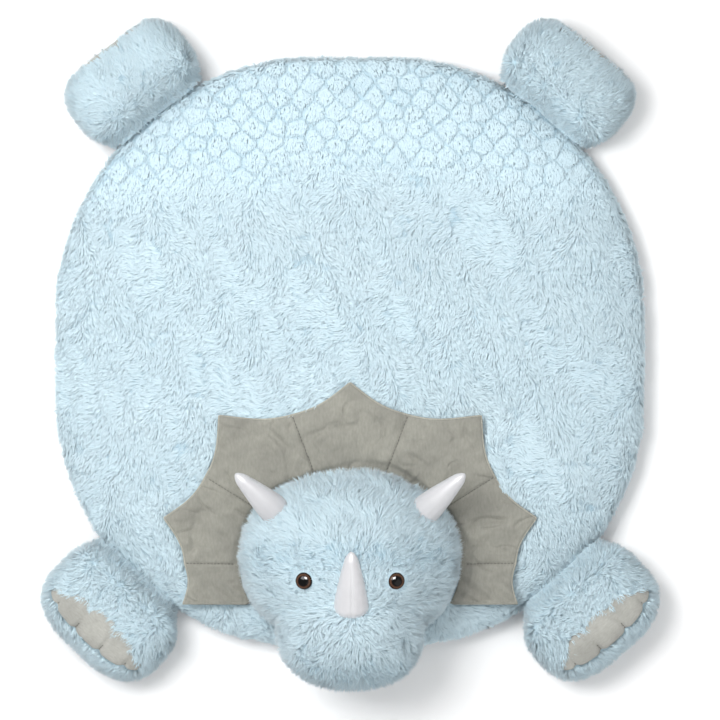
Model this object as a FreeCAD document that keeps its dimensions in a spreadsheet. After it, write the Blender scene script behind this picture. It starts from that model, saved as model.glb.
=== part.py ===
import FreeCAD, Part
import math
import os
import re
import Sketcher

# Plush three-horned dinosaur nap mat, in millimetres.
# Frame: the floor is z = 0, +Z is up, the head lies toward -Y and the rear feet toward +Y.
# The origin is under the middle of the whole object.

doc = FreeCAD.newDocument("plush_dinosaur")
V = FreeCAD.Vector

# ---------------------------------------------------------------- driving dimensions

SIZES = [
    # mat
    ("mat_half_width", "337"),
    ("mat_rear_corner", "300"),
    ("mat_front_corner", "300"),
    ("mat_rim_height", "50"),
    ("mat_crown_height", "75"),
    ("rim_round", "22"),
    ("base_round", "19"),
    ("seam_height", "25"),
    ("cover", "3"),
    ("crown_rise", "=mat_crown_height - mat_rim_height"),
    ("crown_radius", "=(mat_half_width^2 + crown_rise^2) / (2 * crown_rise)"),
    ("crown_centre", "=mat_crown_height - crown_radius"),
    # gap between bodies that move against each other
    ("gap", "1.5"),
    # feet and paws
    ("foot_angle", "39"),
    ("paw_angle", "42.5"),
    ("paw_half_width", "73"),
    ("paw_height", "80"),
    ("paw_floor_gap", "1"),
    ("paw_hinge_reach", "4.5"),
    ("paw_root_slope", "55"),
    ("foot_root_taper", "8"),
    ("paw_outer_taper", "8"),
    ("paw_inner_taper", "24"),
    ("foot_reach", "84"),
    ("front_paw_reach", "96"),
    ("paw_end_round", "24"),
    ("sole_thickness", "3"),
    ("toe_band_start", "34"),
    ("toe_band_end", "5"),
    ("toe_band_low", "40"),
    ("toe_spacing", "48"),
    ("thread", "0.8"),
    # head
    ("cranium_half_width", "121"),
    ("cranium_radius", "90"),
    ("cranium_forward", "236"),
    ("cranium_height", "86"),
    ("muzzle_half_width", "84"),
    ("muzzle_radius", "60"),
    ("muzzle_forward", "315"),
    ("muzzle_height", "118"),
    ("muzzle_seam", "286"),
    ("head_side_seam", "84"),
    ("nod_forward", "315"),
    ("nod_height", "30"),
    ("nod_clearance", "26.5"),
    # eyes
    ("eye_radius", "9"),
    ("eye_dome", "5"),
    ("eye_side", "51"),
    ("eye_forward", "254"),
    ("eye_stem_radius", "2.5"),
    ("eye_stem_length", "14"),
    ("washer_radius", "8"),
    ("washer_thickness", "1.6"),
    # horns
    ("horn_cover", "2"),
    ("brow_horn_base", "18.5"),
    ("brow_horn_length", "80"),
    ("nose_horn_base", "21"),
    ("nose_horn_length", "74"),
    ("horn_tip", "5"),
    ("horn_seat", "14"),
    ("brow_horn_side", "84"),
    ("brow_horn_forward", "176"),
    ("brow_horn_turn", "43"),
    ("brow_horn_rise", "27"),
    ("nose_horn_back", "36"),
    ("nose_horn_sink", "10"),
    ("nose_horn_rise", "24"),
    # frill
    ("frill_centre_forward", "240"),
    ("frill_inner_half_width", "128"),
    ("frill_inner_half_length", "102"),
    ("frill_front_end", "290"),
    ("frill_panel", "1.5"),
    ("frill_batting", "2"),
]

sheet = doc.addObject("Spreadsheet::Sheet", "Sizes")
for row, (alias, content) in enumerate(SIZES, start=1):
    sheet.set(f"A{row}", alias)
    sheet.set(f"B{row}", content)
    sheet.setAlias(f"B{row}", alias)
doc.recompute()


def size(alias):
    """The value of one cell of the sheet."""
    return float(sheet.get(alias))


def bound(text):
    """An expression written with bare aliases, with each alias pointed at the sheet."""
    return re.sub(r"[a-z]\w*(?![\w(])", lambda word: "Sizes." + word.group(), text)


def value(text):
    """The number that an expression of bare aliases gives."""
    return float(sheet.evalExpression(bound(text)))


# ---------------------------------------------------------------- helpers


def named(kind, label):
    """A new object of the document with its own label."""
    made = doc.addObject(kind, label)
    made.Label = label
    return made


def bind(item, **expressions):
    """Ties properties of an object to the sheet."""
    for name, text in expressions.items():
        item.setExpression(name, bound(text))
    return item


def plane(body, role):
    """One of a body's own origin planes."""
    return next(f for f in body.Origin.OriginFeatures if f.Role == role)


def sketch_on(body, role):
    """An empty sketch on one of the body's origin planes."""
    sketch = body.newObject("Sketcher::SketchObject", "Sketch")
    sketch.AttachmentSupport = [(plane(body, role), "")]
    sketch.MapMode = "FlatFace"
    return sketch


def hold(sketch, edge, end, across, up):
    """Ties one end of an edge to a place given by two expressions."""
    point = [value(across), value(up)]
    for direction, text, number in (("DistanceX", across, point[0]), ("DistanceY", up, point[1])):
        index = sketch.addConstraint(Sketcher.Constraint(direction, -1, 1, edge, end, number))
        sketch.setExpression(f"Constraints[{index}]", bound(text))


def outline(sketch, corners):
    """A closed outline of straight lines through corners given as pairs of expressions."""
    points = [V(value(x), value(y), 0) for x, y in corners]
    count = len(points)
    for i in range(count):
        sketch.addGeometry(Part.LineSegment(points[i], points[(i + 1) % count]))
    for i in range(count):
        sketch.addConstraint(Sketcher.Constraint("Coincident", i, 2, (i + 1) % count, 1))
        hold(sketch, i, 1, corners[i][0], corners[i][1])


def pad(body, sketch, length):
    """A pad of a sketch, its length tied to the sheet."""
    made = body.newObject("PartDesign::Pad", "Pad")
    made.Profile = sketch
    bind(made, Length=length)
    doc.recompute()
    return made


def round_edges(body, base, wanted, radius):
    """A PartDesign fillet on the edges for which wanted(edge) is true."""
    names = [f"Edge{i}" for i, edge in enumerate(base.Shape.Edges, start=1) if wanted(edge)]
    made = body.newObject("PartDesign::Fillet", "Fillet")
    made.Base = (base, names)
    bind(made, Radius=radius)
    doc.recompute()
    return made


def carve(body, role, corners):
    """Cuts an outline on one of a body's origin planes right through it."""
    sketch = sketch_on(body, role)
    outline(sketch, corners)
    pocket = body.newObject("PartDesign::Pocket", "Pocket")
    pocket.Profile = sketch
    pocket.Type = "ThroughAll"
    pocket.Midplane = True
    doc.recompute()
    return pocket


def cut(label, base, tool):
    """base with tool taken away."""
    made = named("Part::Cut", label)
    made.Base = base
    made.Tool = tool
    doc.recompute()
    return made


def common(label, base, tool):
    """What base and tool share."""
    made = named("Part::Common", label)
    made.Base = base
    made.Tool = tool
    doc.recompute()
    return made


def fuse(label, shapes):
    """Several solids joined into one."""
    made = named("Part::MultiFuse", label)
    made.Shapes = shapes
    doc.recompute()
    return made


def box(label, low, high):
    """A box between two corners given as triples of expressions."""
    made = named("Part::Box", label)
    bind(
        made,
        Length=f"({high[0]}) - ({low[0]})",
        Width=f"({high[1]}) - ({low[1]})",
        Height=f"({high[2]}) - ({low[2]})",
    )
    for axis, text in zip("xyz", low):
        made.setExpression(f"Placement.Base.{axis}", bound(text))
    doc.recompute()
    return made


def ball(label, radius, centre):
    """A sphere with its radius and centre tied to the sheet."""
    made = bind(named("Part::Sphere", label), Radius=radius)
    for axis, text in zip("xyz", centre):
        made.setExpression(f"Placement.Base.{axis}", bound(text))
    doc.recompute()
    return made


KEEP = []


def keep(item):
    """Marks an object as one piece of the dinosaur."""
    KEEP.append(item)
    return item


# ---------------------------------------------------------------- mat


def mat_block(label, inset):
    """The whole mat, shrunk by an inset: a round-cornered cushion with a crowned top."""
    body = named("PartDesign::Body", label + "_prism")
    half = f"mat_half_width - {inset}"
    sketch = sketch_on(body, "XY_Plane")
    outline(sketch, [(f"-({half})", f"-({half})"), (half, f"-({half})"), (half, half), (f"-({half})", half)])
    prism = pad(body, sketch, f"mat_crown_height - 2 * {inset}")

    def upright(edge, side):
        return edge.BoundBox.ZLength > size("cover") and edge.BoundBox.Center.y * side > 0

    rear = round_edges(body, prism, lambda edge: upright(edge, 1), f"mat_rear_corner - {inset}")
    round_edges(
        body,
        rear,
        lambda edge: upright(edge, -1) and edge.BoundBox.Center.x ** 2 > size("mat_rear_corner") ** 2,
        f"mat_front_corner - {inset}",
    )
    body.setExpression("Placement.Base.z", bound(inset))
    dome = ball(label + "_dome", f"crown_radius - {inset}", ("0", "0", "crown_centre"))
    crowned = common(label + "_crowned", body, dome)
    block = named("Part::Fillet", label)
    block.Base = crowned
    top_round = value(f"rim_round - {inset}")
    low_round = value(f"base_round - {inset}")
    rims = []
    for number, edge in enumerate(crowned.Shape.Edges, start=1):
        edge_box = edge.BoundBox
        if edge_box.ZLength < size("cover") and edge_box.Center.z < size("mat_rim_height") + 1:
            radius = top_round if edge_box.Center.z > size("seam_height") else low_round
            rims.append((number, radius, radius))
    block.Edges = rims
    doc.recompute()
    return block


mat_outer = mat_block("mat_outer", "0")
mat_stuffing = keep(mat_block("mat_stuffing", "cover"))
mat_shell = cut("mat_shell", mat_outer, mat_stuffing)
far = "1.2 * mat_half_width"
above_seam = box("mat_above_seam", (f"-{far}", f"-{far}", "seam_height"), (far, far, "2 * mat_crown_height"))
below_seam = box("mat_below_seam", (f"-{far}", f"-{far}", "-seam_height"), (far, far, "seam_height"))
keep(common("mat_top_panel", mat_shell, above_seam))
keep(common("mat_underside_panel", mat_shell, below_seam))


# ---------------------------------------------------------------- feet and paws


def paw_block(label, reach, inset, tapers):
    """A paw along local +X, shrunk by an inset: a flat oval bolster, pinched to a wedge at its hinge.

    The tapers say how much narrower its hinge is on the +Y side and on the -Y side.
    """
    body = named("PartDesign::Body", label)
    side = f"paw_half_width - {inset}"
    low = f"paw_floor_gap + {inset}"
    top = f"paw_height - {inset}"
    section = sketch_on(body, "YZ_Plane")
    outline(section, [(f"-({side})", low), (side, low), (side, top), (f"-({side})", top)])
    bolster = pad(body, section, f"{reach} - {inset}")
    half_height = f"0.45 * (paw_height - paw_floor_gap) - {inset}"
    sides = round_edges(
        body,
        bolster,
        lambda edge: edge.BoundBox.XLength > size("paw_half_width"),
        half_height,
    )
    end = value(f"{reach} - {inset}")
    round_edges(
        body,
        sides,
        lambda edge: edge.BoundBox.XLength < 1e-3 and abs(edge.BoundBox.Center.x - end) < 1e-3,
        f"paw_end_round - {inset}",
    )
    root = f"paw_hinge_reach - 2 + {inset}"
    slant = f"{inset} / cos(paw_root_slope)"
    upper = f"seam_height + 2 - ({slant})"
    lower = f"seam_height - 2 + ({slant})"
    rise = "(2 * paw_height)"
    over = [("-1", upper), (root, upper), (f"{root} + {rise} / tan(paw_root_slope)", f"{upper} + {rise}")]
    under = [("-1", lower), (root, lower), (f"{root} + {rise}", f"{lower} - {rise}")]
    carve(body, "XZ_Plane", over + [("-1", f"{upper} + {rise}")])
    carve(body, "XZ_Plane", under + [("-1", f"{lower} - {rise}")])
    carve(body, "XZ_Plane", [("-1", "-1"), (root, "-1"), (root, rise), ("-1", rise)])
    for sign, taper in zip(("", "-"), tapers):
        shoulder = f"({side} - {taper})"
        near = ("0", f"{sign}({shoulder} - {root})")
        outer = (f"2 * {taper}", f"{sign}({shoulder} - {root} + 2 * {taper})")
        carve(body, "XY_Plane", [near, outer, ("0", outer[1])])
    return body


def around_mat(item, yaw, distance):
    """Places a paw piece at the mat's rim, turned to point outward."""
    item.setExpression("Placement.Base.x", bound(f"({distance}) * cos({yaw})"))
    item.setExpression("Placement.Base.y", bound(f"({distance}) * sin({yaw})"))
    item.setExpression("Placement.Rotation.Angle", bound(yaw))
    doc.recompute()
    return keep(item)


def corner_distance(corner, angle):
    """How far the mat's rim is from its middle in the direction of a paw."""
    return f"(mat_half_width - {corner}) * (sin({angle}) + cos({angle})) + {corner}"


wide = "1.2 * paw_half_width"
foot_tapers = ("foot_root_taper", "foot_root_taper")
foot_outer = paw_block("foot_outer", "foot_reach", "0", foot_tapers)
foot_inner = paw_block("foot_inner", "foot_reach", "cover", foot_tapers)
sole_zone = box(
    "sole_zone",
    ("foot_reach - sole_thickness", f"-{wide}", "0"),
    ("foot_reach + sole_thickness", wide, "2 * paw_height"),
)
toe_start = "front_paw_reach - toe_band_start"
toe_end = "front_paw_reach - toe_band_end"
toe_zone = box("toe_zone", (toe_start, f"-{wide}", "toe_band_low"), (toe_end, wide, "2 * paw_height"))


def toe_stitches(label, raised_skin):
    """Two raised lines of thread that divide the toe panel into three toes."""
    lines = []
    for side in (-1, 1):
        middle = f"{side} * toe_spacing / 2"
        low = (toe_start, f"{middle} - thread", "toe_band_low")
        high = (toe_end, f"{middle} + thread", "2 * paw_height")
        lines.append(box(f"{label}_line_{side + 1}", low, high))
    return common(label, raised_skin, fuse(label + "_lines", lines))


for side, sign in (("left", -1), ("right", 1)):
    rear_yaw = f"90 - ({sign}) * foot_angle"
    front_yaw = f"({sign}) * paw_angle - 90"
    rear = corner_distance("mat_rear_corner", "foot_angle")
    front = corner_distance("mat_front_corner", "paw_angle")
    skin = cut(f"{side}_foot_skin", foot_outer, foot_inner)
    around_mat(cut(f"{side}_foot_cover", skin, sole_zone), rear_yaw, rear)
    around_mat(common(f"{side}_foot_sole", foot_outer, sole_zone), rear_yaw, rear)
    around_mat(paw_block(f"{side}_foot_stuffing", "foot_reach", "cover", foot_tapers), rear_yaw, rear)
    tapers = ("paw_inner_taper", "paw_outer_taper")[::-sign]
    outer = paw_block(f"{side}_paw_outer", "front_paw_reach", "0", tapers)
    inner = paw_block(f"{side}_paw_inner", "front_paw_reach", "cover", tapers)
    raised = paw_block(f"{side}_paw_raised", "front_paw_reach", "(-thread)", tapers)
    raised_skin = cut(f"{side}_paw_raised_skin", raised, outer)
    skin = cut(f"{side}_paw_skin", outer, inner)
    around_mat(cut(f"{side}_paw_cover", skin, toe_zone), front_yaw, front)
    around_mat(common(f"{side}_paw_toe_panel", skin, toe_zone), front_yaw, front)
    around_mat(toe_stitches(f"{side}_paw_toe_stitches", raised_skin), front_yaw, front)
    around_mat(paw_block(f"{side}_paw_stuffing", "front_paw_reach", "cover", tapers), front_yaw, front)


# ---------------------------------------------------------------- head


def spheroid(label, half_width, radius, forward, height, inset):
    """A rounded lump, wider than it is deep, turned about a line that runs across the head."""
    lump = named("Part::Ellipsoid", label)
    bind(
        lump,
        Radius1=f"{radius} - {inset}",
        Radius2=f"{half_width} - {inset}",
        Radius3=f"{radius} - {inset}",
    )
    lump.setExpression("Placement.Base.y", bound(f"-{forward}"))
    lump.setExpression("Placement.Base.z", bound(height))
    doc.recompute()
    return lump


def mat_clearance(label, room):
    """The mat's crown and front rim with room around them, to be cut out of the head."""
    dome = ball(label + "_dome", f"crown_radius + {room}", ("0", "0", "crown_centre"))
    behind = box(
        label + "_behind",
        (f"-{far}", "-nod_forward", "-mat_crown_height"),
        (far, "mat_half_width", "2 * mat_crown_height"),
    )
    crown = common(label + "_crown", dome, behind)
    rim = named("Part::Cylinder", label + "_rim")
    bind(rim, Radius=f"nod_clearance + {room} - gap", Height=f"2 * {far}")
    rim.Placement = FreeCAD.Placement(V(0, 0, 0), FreeCAD.Rotation(V(0, 1, 0), 90))
    rim.setExpression("Placement.Base.x", bound(f"-{far}"))
    rim.setExpression("Placement.Base.y", bound("-nod_forward"))
    rim.setExpression("Placement.Base.z", bound("nod_height"))
    doc.recompute()
    return fuse(label, [crown, rim])


def head_block(label, inset):
    """Cranium and muzzle in one, shrunk by an inset, hollowed underneath where the head lies on the mat."""
    cranium = spheroid(
        label + "_cranium", "cranium_half_width", "cranium_radius", "cranium_forward", "cranium_height", inset
    )
    muzzle = spheroid(
        label + "_muzzle", "muzzle_half_width", "muzzle_radius", "muzzle_forward", "muzzle_height", inset
    )
    lumps = fuse(label + "_lumps", [cranium, muzzle])
    return cut(label, lumps, mat_clearance(label + "_room", f"(gap + {inset})"))


head_outer = head_block("head_outer", "0")
head_inner = head_block("head_inner", "cover")
head_skin = cut("head_skin", head_outer, head_inner)


def cranium_point(across, forward):
    """A place on top of the cranium and the direction straight out of it there."""
    half, radius = size("cranium_half_width"), size("cranium_radius")
    back = size("cranium_forward") - forward
    up = radius * math.sqrt(1 - (across / half) ** 2 - (back / radius) ** 2)
    place = V(across, -forward, size("cranium_height") + up)
    outward = V(across / half ** 2, back / radius ** 2, up / radius ** 2).normalize()
    return place, outward


def aimed(item, place, aim):
    """Turns an object's own +Z along a line and puts its origin at a place."""
    item.Placement = FreeCAD.Placement(place, FreeCAD.Rotation(V(0, 0, 1), aim))
    doc.recompute()
    return item


def drum(label, radius, low, high):
    """A round bar along local Z between two heights."""
    bar = bind(named("Part::Cylinder", label), Radius=radius, Height=f"({high}) - ({low})")
    bar.setExpression("Placement.Base.z", bound(low))
    doc.recompute()
    return bar


def eye_parts(side, sign):
    """A domed eye with its stem, the washer that locks it, and the hole and pocket that they need."""
    place, outward = cranium_point(sign * size("eye_side"), size("eye_forward"))
    curve = "(eye_radius^2 + eye_dome^2) / (2 * eye_dome)"
    dome = named("Part::Sphere", f"{side}_eye_dome")
    bind(dome, Radius=curve, Angle1=f"asin(1 - eye_dome / ({curve}))")
    dome.setExpression("Placement.Base.z", bound(f"eye_dome - ({curve})"))
    stem = drum(f"{side}_eye_stem", "eye_stem_radius", "-eye_stem_length", "thread")
    keep(aimed(fuse(f"{side}_eye", [dome, stem]), place, outward))
    top, low = "-cover - thread", "-cover - thread - washer_thickness"
    disc = drum(f"{side}_washer_disc", "washer_radius", low, top)
    keep(aimed(cut(f"{side}_eye_washer", disc, stem), place, outward))
    hole = drum(f"{side}_stem_room", "eye_stem_radius", "-eye_stem_length", "gap")
    room = fuse(f"{side}_eye_room", [disc, hole])
    return aimed(room, place, outward)


eye_room = fuse("eye_room", [eye_parts("left", -1), eye_parts("right", 1)])
face_zone = box("face_zone", (f"-{far}", "-muzzle_seam", "head_side_seam"), (far, "0", "3 * head_side_seam"))
muzzle_zone = box(
    "muzzle_zone",
    (f"-{far}", f"-2 * {far}", "head_side_seam"),
    (far, "-muzzle_seam", "3 * head_side_seam"),
)
back_zone = box("back_zone", (f"-{far}", f"-2 * {far}", "0"), (far, "0", "head_side_seam"))
face_skin = common("face_skin", head_skin, face_zone)
keep(cut("head_face_cover", face_skin, eye_room))
keep(common("muzzle_cover", head_skin, muzzle_zone))
keep(common("head_back_panel", head_skin, back_zone))
keep(cut("head_stuffing", head_inner, eye_room))


# ---------------------------------------------------------------- horns


def horn_lump(label, base, length, inset, place, aim):
    """A round-tipped cone along a direction, shrunk by an inset."""
    shaft = bind(
        named("Part::Cone", label + "_shaft"),
        Radius1=f"{base} - {inset}",
        Radius2=f"horn_tip - {inset}",
        Height=f"{length} - horn_tip",
    )
    tip = ball(label + "_tip", f"horn_tip - {inset}", ("0", "0", f"{length} - horn_tip"))
    return aimed(fuse(label, [shaft, tip]), place, aim)


def horn(name, base, length, place, aim):
    """A stuffed horn whose base is sunk into the head along its own line and trimmed there."""
    foot = place - aim * size("horn_seat")
    outer = horn_lump(name + "_outer", base, length, "0", foot, aim)
    inner = horn_lump(name + "_inner", base, length, "horn_cover", foot, aim)
    keep(cut(name + "_cover", cut(name + "_skin", outer, inner), head_outer))
    keep(cut(name + "_stuffing", inner, head_outer))


def direction(turn, rise):
    """A unit vector turned from +X toward +Y and raised, both in degrees."""
    turn, rise = math.radians(turn), math.radians(rise)
    return V(math.cos(rise) * math.cos(turn), math.cos(rise) * math.sin(turn), math.sin(rise))


for side, sign in (("left", -1), ("right", 1)):
    base_place, _ = cranium_point(sign * size("brow_horn_side"), size("brow_horn_forward"))
    aim = direction(size("brow_horn_turn"), size("brow_horn_rise"))
    aim.x *= sign
    horn(f"{side}_brow_horn", "brow_horn_base", "brow_horn_length", base_place, aim)
nose_height = value("muzzle_height + muzzle_radius - nose_horn_sink")
nose_place = V(0, value("nose_horn_back - muzzle_forward"), nose_height)
nose_aim = direction(90, size("nose_horn_rise"))
horn("nose_horn", "nose_horn_base", "nose_horn_length", nose_place, nose_aim)


# ---------------------------------------------------------------- frill

# Tips and valleys of the lobes from the rear one round to the front: angle and distance from the middle.
TIPS = [(0, 205), (41, 223), (75.5, 215), (103, 192)]
VALLEYS = [(21, 181), (58.3, 190), (89, 185)]


def polar(angle, distance):
    """A place in plan at an angle from the rear direction around the frill's middle."""
    return (f"{distance} * sin({angle})", f"{distance} * cos({angle}) - frill_centre_forward")


one_side = []
for valley, tip in zip(VALLEYS, TIPS[1:]):
    one_side += [valley, tip]
left_edge = [polar(-angle, distance) for angle, distance in reversed(one_side)]
right_edge = [polar(angle, distance) for angle, distance in one_side]
lobed = named("PartDesign::Body", "frill_lobes")
lobed_sketch = sketch_on(lobed, "XY_Plane")
outline(lobed_sketch, left_edge + [polar(*TIPS[0])] + right_edge)
pad(lobed, lobed_sketch, "2 * mat_crown_height")
ring = named("Part::Ellipse", "head_ring")
bind(ring, MajorRadius="frill_inner_half_width", MinorRadius="frill_inner_half_length")
ring.setExpression("Placement.Base.y", bound("-frill_centre_forward"))
head_hole = bind(named("Part::Extrusion", "head_hole"), LengthFwd="3 * mat_crown_height")
head_hole.Base = ring
head_hole.Dir = V(0, 0, 1)
head_hole.DirMode = "Custom"
head_hole.Solid = True
doc.recompute()
frill_plan = cut("frill_plan", lobed, head_hole)


def frill_layer(label, low, high, plan):
    """The part of the frill between two heights above the mat's crown."""
    over = ball(label + "_top", f"crown_radius + {high}", ("0", "0", "crown_centre"))
    under = ball(label + "_under", f"crown_radius + {low}", ("0", "0", "crown_centre"))
    return keep(cut(label, common(label + "_dome", plan, over), under))


batting_low = "gap + frill_panel"
batting_high = "gap + frill_panel + frill_batting"
frill_top = "gap + 2 * frill_panel + frill_batting"
frill_layer("frill_back_panel", "gap", batting_low, frill_plan)
frill_layer("frill_batting", batting_low, batting_high, frill_plan)
frill_layer("frill_front_panel", batting_high, frill_top, frill_plan)
rays = []
for angle, distance in VALLEYS:
    for sign in (-1, 1):
        ray = named("Part::Box", f"ray_{len(rays)}")
        bind(ray, Length="2 * thread", Width=f"{distance} - frill_panel", Height="2 * mat_crown_height")
        ray.setExpression("Placement.Base.x", bound(f"-thread * cos({angle})"))
        middle = f"{sign} * thread * sin({angle}) - frill_centre_forward"
        ray.setExpression("Placement.Base.y", bound(middle))
        ray.setExpression("Placement.Rotation.Angle", f"{-sign * angle}")
        rays.append(ray)
doc.recompute()
quilting = common("quilting_plan", frill_plan, fuse("quilting_rays", rays))
frill_layer("frill_quilting", frill_top, frill_top + " + thread", quilting)


# ---------------------------------------------------------------- check and export

faulty = [item.Label for item in doc.Objects if {"Invalid", "Error"} & set(item.State)]
faulty += [item.Label for item in KEEP if item.Shape.isNull() or not item.Shape.isValid()]
if faulty:
    raise RuntimeError("these objects did not build: " + ", ".join(faulty))
os.makedirs("parts", exist_ok=True)
for item in KEEP:
    item.Shape.exportStep(f"parts/{item.Label}.step")
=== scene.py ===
import math

import bpy
import numpy as np
from mathutils import Matrix, Vector, kdtree
from mathutils.bvhtree import BVHTree


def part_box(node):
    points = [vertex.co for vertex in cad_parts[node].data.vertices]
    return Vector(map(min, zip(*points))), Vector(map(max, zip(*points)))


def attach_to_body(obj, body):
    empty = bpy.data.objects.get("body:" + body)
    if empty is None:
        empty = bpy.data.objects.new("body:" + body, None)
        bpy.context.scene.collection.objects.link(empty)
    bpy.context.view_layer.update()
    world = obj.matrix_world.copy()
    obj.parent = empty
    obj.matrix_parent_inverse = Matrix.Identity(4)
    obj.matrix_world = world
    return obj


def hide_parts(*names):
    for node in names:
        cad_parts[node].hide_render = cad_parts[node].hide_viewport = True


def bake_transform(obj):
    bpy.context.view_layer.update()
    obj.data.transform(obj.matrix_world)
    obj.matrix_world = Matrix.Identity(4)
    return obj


# Plush three-horned dinosaur nap mat, seen from straight above.
# Metres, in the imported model's frame: floor at z = 0, head toward -Y, rear feet toward +Y.

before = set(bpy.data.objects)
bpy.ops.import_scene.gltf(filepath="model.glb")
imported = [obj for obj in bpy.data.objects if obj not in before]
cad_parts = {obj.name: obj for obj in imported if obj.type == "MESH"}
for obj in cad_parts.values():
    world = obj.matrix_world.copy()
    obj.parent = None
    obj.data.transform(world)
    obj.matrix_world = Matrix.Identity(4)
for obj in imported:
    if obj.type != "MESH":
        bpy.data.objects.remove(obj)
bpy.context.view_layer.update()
scene = bpy.context.scene

MM = 0.001
PILE = 7 * MM            # how far the long pile stands off the cloth
SEED = 7

mat_low, mat_high = (np.array(corner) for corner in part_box("mat_top_panel"))
MAT_HALF = mat_high[0]
MAT_CROWN = mat_high[2]
MAT_SEAM = mat_low[2]
MAT_RIM = MAT_CROWN - 25 * MM
REAR_CORNER = 300 * MM   # corner radii of the mat in CAD, and how much tighter they are here
FRONT_CORNER = 300 * MM
REAR_TIGHTER = 4 * MM
FRONT_TIGHTER = 12 * MM
CROWN_RADIUS = (MAT_HALF ** 2 + (MAT_CROWN - MAT_RIM) ** 2) / (2 * (MAT_CROWN - MAT_RIM))


# ---- arrays and meshes


def random(offset):
    """A seeded generator, one for each use."""
    return np.random.default_rng(SEED * 1000 + offset)


def unit(vectors):
    """Vectors scaled to length one."""
    size = np.linalg.norm(vectors, axis=-1, keepdims=True)
    return vectors / np.maximum(size, 1e-9)


def smooth(low, high, values):
    """Zero below low, one above high, eased between."""
    t = np.clip((values - low) / (high - low), 0, 1)
    return t * t * (3 - 2 * t)


def waves(points, wavelength, offset, count=7):
    """Smooth noise from -1 to 1: a sum of plane waves in random directions."""
    rng = random(offset)
    total = np.zeros(len(points))
    for _ in range(count):
        direction = unit(rng.normal(size=3))
        pace = 2 * math.pi / (wavelength * rng.uniform(0.7, 1.6))
        total += np.sin(points @ direction * pace + rng.uniform(0, 2 * math.pi))
    return total / count * 1.6


def wave_vectors(points, wavelength, offset):
    """Smooth noise vectors."""
    return np.stack([waves(points, wavelength, offset + axis) for axis in range(3)], axis=1)


def mesh_object(name, vertices, faces, smooth_shading=True):
    """A new mesh object from vertices and faces."""
    mesh = bpy.data.meshes.new(name)
    mesh.from_pydata([tuple(v) for v in vertices], [], [tuple(int(i) for i in f) for f in faces])
    mesh.update()
    mesh.validate()
    if smooth_shading:
        mesh.shade_smooth()
    item = bpy.data.objects.new(name, mesh)
    scene.collection.objects.link(item)
    return item


def grid_faces(rows, columns, wrap=False):
    """Quads over a grid of points that is stored row after row."""
    faces = []
    last = columns if wrap else columns - 1
    for row in range(rows - 1):
        for column in range(last):
            after = (column + 1) % columns
            low, high = row * columns, (row + 1) * columns
            faces.append((low + column, low + after, high + after, high + column))
    return faces


def points_of(item):
    """The item's vertices as an array."""
    flat = np.empty(len(item.data.vertices) * 3)
    item.data.vertices.foreach_get("co", flat)
    return flat.reshape(-1, 3)


def normals_of(item):
    """The item's vertex normals as an array."""
    flat = np.empty(len(item.data.vertices) * 3)
    item.data.vertex_normals.foreach_get("vector", flat)
    return flat.reshape(-1, 3)


def set_points(item, points):
    """Moves the item's vertices."""
    item.data.vertices.foreach_set("co", np.asarray(points, float).ravel())
    item.data.update()


def settle_modifiers(item):
    """Applies the item's modifiers to its mesh."""
    graph = bpy.context.evaluated_depsgraph_get()
    made = bpy.data.meshes.new_from_object(item.evaluated_get(graph))
    item.modifiers.clear()
    item.data = made
    item.data.shade_smooth()
    return item


def remesh(item, voxel, relax=4):
    """Joins what overlaps into one even skin and relaxes it."""
    made = item.modifiers.new("even", "REMESH")
    made.mode = "VOXEL"
    made.voxel_size = voxel
    made.use_smooth_shade = True
    relaxing = item.modifiers.new("relax", "SMOOTH")
    relaxing.factor = 0.5
    relaxing.iterations = relax
    return settle_modifiers(item)


def inflate(item, cap, pressure=4.0, frames=20):
    """Blows a closed skin up like a filled cover with Cloth, moving no point further than cap."""
    before = points_of(item)
    cloth = item.modifiers.new("filling", "CLOTH")
    cloth.settings.use_pressure = True
    cloth.settings.uniform_pressure_force = pressure
    cloth.settings.effector_weights.gravity = 0
    cloth.point_cache.frame_start = 1
    cloth.point_cache.frame_end = frames
    for number in range(1, frames + 1):
        scene.frame_set(number)
    settle_modifiers(item)
    scene.frame_set(1)
    moved = points_of(item) - before
    far = np.linalg.norm(moved, axis=1, keepdims=True)
    set_points(item, before + moved * np.minimum(1, cap / np.maximum(far, 1e-9)))
    return item


def superellipsoid(half, power_plan, power_height, count=40):
    """Points and faces of a rounded block: a cube's faces pushed out to a superellipsoid."""
    steps = np.linspace(-1, 1, count)
    across, up = np.meshgrid(steps, steps)
    across, up = np.tan(across * math.pi / 4), np.tan(up * math.pi / 4)
    vertices, faces = [], []
    for axis in range(3):
        for sign in (-1, 1):
            side = np.empty((count * count, 3))
            side[:, axis] = sign
            side[:, (axis + 1) % 3] = across.ravel() * sign
            side[:, (axis + 2) % 3] = up.ravel()
            base = len(vertices) * count * count
            vertices.append(side)
            faces += [tuple(base + i for i in face) for face in grid_faces(count, count)]
    points = np.concatenate(vertices)
    plan = (np.abs(points[:, 0]) ** power_plan + np.abs(points[:, 1]) ** power_plan) ** (1 / power_plan)
    reach = (plan ** power_height + np.abs(points[:, 2]) ** power_height) ** (1 / power_height)
    return points / reach[:, None] * np.array(half), faces


# ---- materials


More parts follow.
